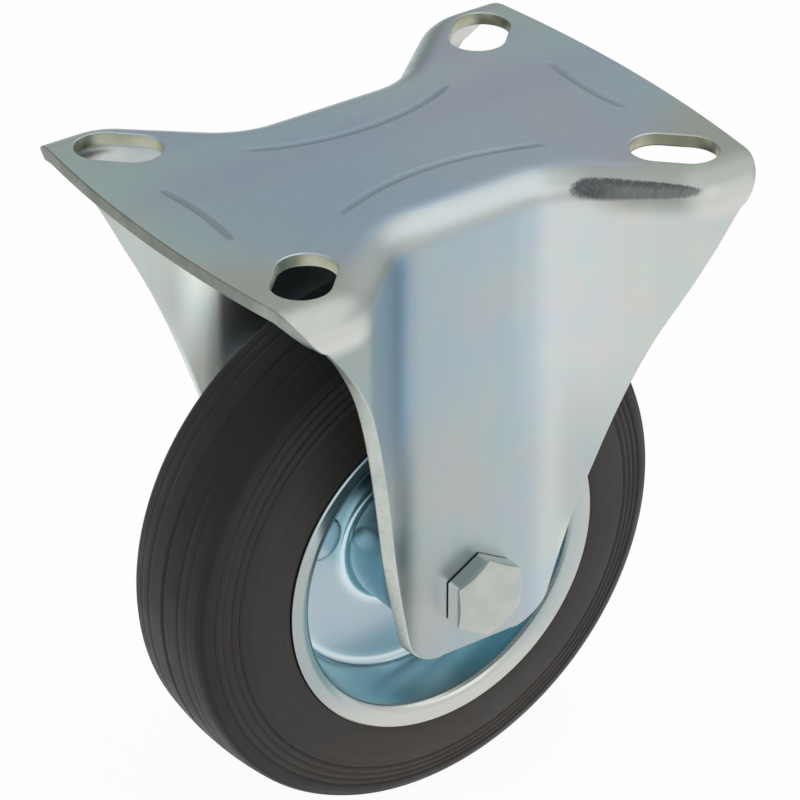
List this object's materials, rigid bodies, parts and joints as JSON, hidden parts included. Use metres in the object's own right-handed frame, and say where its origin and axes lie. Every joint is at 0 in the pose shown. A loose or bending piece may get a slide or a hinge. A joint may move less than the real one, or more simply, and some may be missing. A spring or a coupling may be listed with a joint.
{
  "type": "fixed castor",
  "caption": "Fixed castor: a pressed steel top plate and fork in one piece, with a black rubber tyre on a pressed steel rim that turns on a roller bearing.",
  "frame": {"origin": "centre of the top plate's upper face, on the wheel's middle plane and straight above the axle", "axes": "+Z is the outward normal of the top plate's upper face, Y runs along the wheel's axle with the bolt head at -Y, and the wheel rolls along X"},
  "size_m": [0.1014, 0.0816, 0.1267],
  "materials": {
    "zinc_plated_steel": "bright zinc plate with a faint blue tint",
    "blue_zinc_rim": "bright zinc plate with a blue tint",
    "bright_steel": "bright zinc plate",
    "bearing_steel": "ground",
    "black_rubber": "matt moulded rubber",
    "white_nylon": "satin",
    "cage_plastic": "moulded"
  },
  "bodies": {
    "fork": {"bracket": "zinc_plated_steel", "axle_bolt": "bright_steel", "lock_nut": "bright_steel", "nylon_insert": "white_nylon", "axle_sleeve": "bearing_steel"},
    "wheel": {"tyre": "black_rubber", "rim_front": "blue_zinc_rim", "rim_rear": "blue_zinc_rim", "rivet_1": "blue_zinc_rim", "rivet_2": "blue_zinc_rim", "rivet_3": "blue_zinc_rim", "hub_tube": "blue_zinc_rim", "retainer_front": "bright_steel", "retainer_rear": "bright_steel"},
    "cage": {"roller_cage": "cage_plastic"},
    "roller_body_1": {"roller_1": "bearing_steel"},
    "roller_body_2": {"roller_2": "bearing_steel"},
    "roller_body_3": {"roller_3": "bearing_steel"},
    "roller_body_4": {"roller_4": "bearing_steel"},
    "roller_body_5": {"roller_5": "bearing_steel"},
    "roller_body_6": {"roller_6": "bearing_steel"},
    "roller_body_7": {"roller_7": "bearing_steel"},
    "roller_body_8": {"roller_8": "bearing_steel"}
  },
  "joints": [
    {"name": "wheel_spin", "type": "hinge", "parent": "fork", "child": "wheel", "pos_m": [0, 0, -0.0767], "axis": [0, 1, 0], "continuous": true},
    {"name": "cage_spin", "type": "hinge", "parent": "fork", "child": "cage", "pos_m": [0, 0, -0.0767], "axis": [0, 1, 0], "continuous": true},
    {"name": "roller_1_spin", "type": "hinge", "parent": "cage", "child": "roller_body_1", "pos_m": [0.00745, 0, -0.0767], "axis": [0, 1, 0], "continuous": true},
    {"name": "roller_2_spin", "type": "hinge", "parent": "cage", "child": "roller_body_2", "pos_m": [0.00527, 0, -0.08197], "axis": [0, 1, 0], "continuous": true},
    {"name": "roller_3_spin", "type": "hinge", "parent": "cage", "child": "roller_body_3", "pos_m": [0, 0, -0.08415], "axis": [0, 1, 0], "continuous": true},
    {"name": "roller_4_spin", "type": "hinge", "parent": "cage", "child": "roller_body_4", "pos_m": [-0.00527, 0, -0.08197], "axis": [0, 1, 0], "continuous": true},
    {"name": "roller_5_spin", "type": "hinge", "parent": "cage", "child": "roller_body_5", "pos_m": [-0.00745, 0, -0.0767], "axis": [0, 1, 0], "continuous": true},
    {"name": "roller_6_spin", "type": "hinge", "parent": "cage", "child": "roller_body_6", "pos_m": [-0.00527, 0, -0.07143], "axis": [0, 1, 0], "continuous": true},
    {"name": "roller_7_spin", "type": "hinge", "parent": "cage", "child": "roller_body_7", "pos_m": [0, 0, -0.06925], "axis": [0, 1, 0], "continuous": true},
    {"name": "roller_8_spin", "type": "hinge", "parent": "cage", "child": "roller_body_8", "pos_m": [0.00527, 0, -0.07143], "axis": [0, 1, 0], "continuous": true}
  ],
  "couplings": [
    {"joint": "cage_spin", "follows": "wheel_spin", "ratio": 0.62416},
    {"joint": "roller_1_spin", "follows": "wheel_spin", "ratio": 1.8894},
    {"joint": "roller_2_spin", "follows": "wheel_spin", "ratio": 1.8894},
    {"joint": "roller_3_spin", "follows": "wheel_spin", "ratio": 1.8894},
    {"joint": "roller_4_spin", "follows": "wheel_spin", "ratio": 1.8894},
    {"joint": "roller_5_spin", "follows": "wheel_spin", "ratio": 1.8894},
    {"joint": "roller_6_spin", "follows": "wheel_spin", "ratio": 1.8894},
    {"joint": "roller_7_spin", "follows": "wheel_spin", "ratio": 1.8894},
    {"joint": "roller_8_spin", "follows": "wheel_spin", "ratio": 1.8894}
  ]
}
